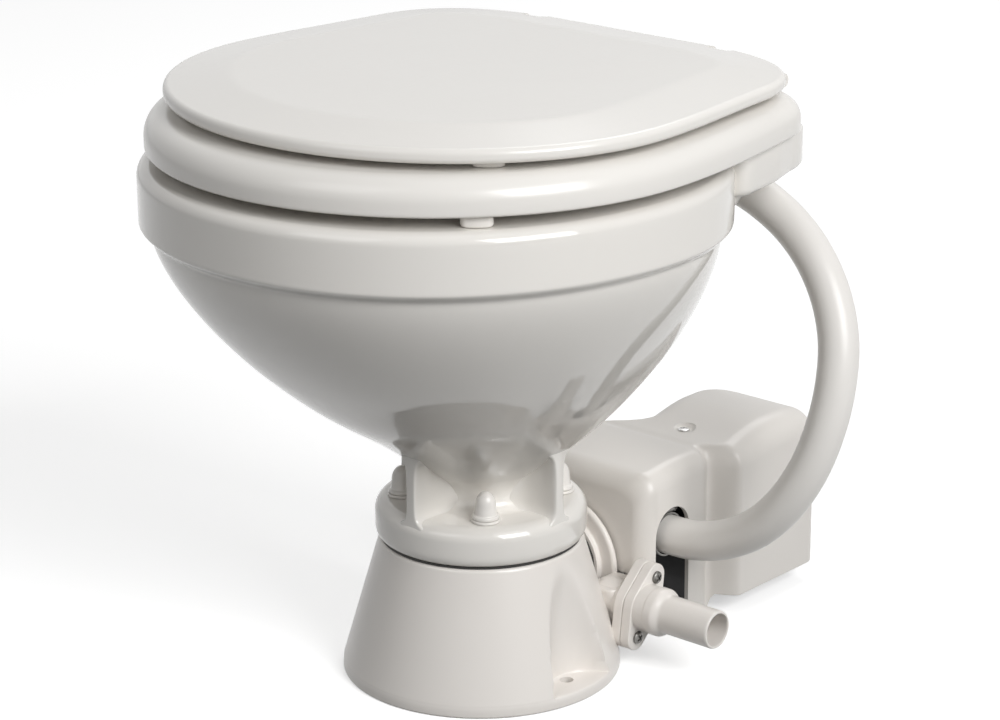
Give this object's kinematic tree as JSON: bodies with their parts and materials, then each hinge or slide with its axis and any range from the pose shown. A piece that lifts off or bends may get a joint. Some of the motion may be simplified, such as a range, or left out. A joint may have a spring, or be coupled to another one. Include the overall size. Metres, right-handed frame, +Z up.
{
  "type": "electric marine toilet",
  "caption": "Compact electric marine toilet: round ceramic bowl on a conical foot, hinged seat and lid, shaft-driven macerator and flush pumps, motor under a moulded cover, curved flush hose.",
  "frame": {"origin": "centre of the foot, on the floor", "axes": "+Z up; -Y towards the front of the seat; +X towards the side where the soil outlet and the flush hose leave"},
  "size_m": [0.3723, 0.4818, 0.4],
  "materials": {
    "ceramic": "white vitreous china, high gloss glaze",
    "enamel": "white baked enamel on moulded wood board, gloss",
    "white_plastic": "white moulded plastic, semi-gloss",
    "cover_plastic": "white moulded plastic, satin",
    "nut_plastic": "white nylon, semi-gloss",
    "hose_vinyl": "white flexible vinyl, satin",
    "rubber": "black rubber, matte",
    "stainless": "stainless steel, turned",
    "black_plastic": "black moulded plastic, satin",
    "impeller_rubber": "dark rubber, satin",
    "motor_paint": "dark painted steel, satin"
  },
  "bodies": {
    "frame": {"pedestal": "white_plastic", "inlet_elbow": "white_plastic", "pump_housing": "white_plastic", "outlet_spigot": "white_plastic", "pump_end_plate": "white_plastic", "bowl": "ceramic", "bowl_gasket": "rubber", "inlet_seal": "rubber", "soil_seal": "rubber", "joker_valve": "rubber", "shaft_seal": "rubber", "bowl_stud_1": "stainless", "bowl_stud_2": "stainless", "bowl_stud_3": "stainless", "bowl_stud_4": "stainless", "hinge_pin_left": "stainless", "hinge_pin_right": "stainless", "hose_clamp_bowl": "stainless", "hose_clamp_pump": "stainless", "outlet_screw_lower": "stainless", "outlet_screw_upper": "stainless", "cover_screw": "stainless", "motor_bracket": "stainless", "stud_washer_1": "nut_plastic", "stud_washer_2": "nut_plastic", "stud_washer_3": "nut_plastic", "stud_washer_4": "nut_plastic", "cap_nut_1": "nut_plastic", "cap_nut_2": "nut_plastic", "cap_nut_3": "nut_plastic", "cap_nut_4": "nut_plastic", "hinge_post_left": "nut_plastic", "hinge_post_right": "nut_plastic", "hinge_nut_left": "nut_plastic", "hinge_nut_right": "nut_plastic", "flush_hose": "hose_vinyl", "flush_pump_body": "black_plastic", "flush_pump_cover": "black_plastic", "cable_gland": "black_plastic", "motor_casing": "motor_paint", "motor_end_cap": "motor_paint", "motor_cover": "cover_plastic"},
    "seat": {"seat": "enamel", "seat_bumper_front_left": "nut_plastic", "seat_bumper_front_right": "nut_plastic", "seat_bumper_rear_left": "nut_plastic", "seat_bumper_rear_right": "nut_plastic", "seat_hinge_left": "nut_plastic", "seat_hinge_right": "nut_plastic"},
    "lid": {"lid": "enamel", "lid_bumper_left": "nut_plastic", "lid_bumper_right": "nut_plastic", "lid_hinge_left": "nut_plastic", "lid_hinge_right": "nut_plastic"},
    "rotor": {"motor_shaft": "stainless", "cutter": "stainless", "discharge_impeller": "black_plastic", "flush_impeller": "impeller_rubber"}
  },
  "joints": [
    {"name": "seat_hinge", "type": "hinge", "parent": "frame", "child": "seat", "pos_m": [0, 0.147, 0.38], "axis": [-1, 0, 0], "range_deg": [0, 95]},
    {"name": "lid_hinge", "type": "hinge", "parent": "seat", "child": "lid", "pos_m": [0, 0.147, 0.38], "axis": [-1, 0, 0], "range_deg": [0, 100]},
    {"name": "shaft_spin", "type": "hinge", "parent": "frame", "child": "rotor", "pos_m": [0.03, 0.17, 0.067], "axis": [0, 1, 0], "continuous": true}
  ]
}
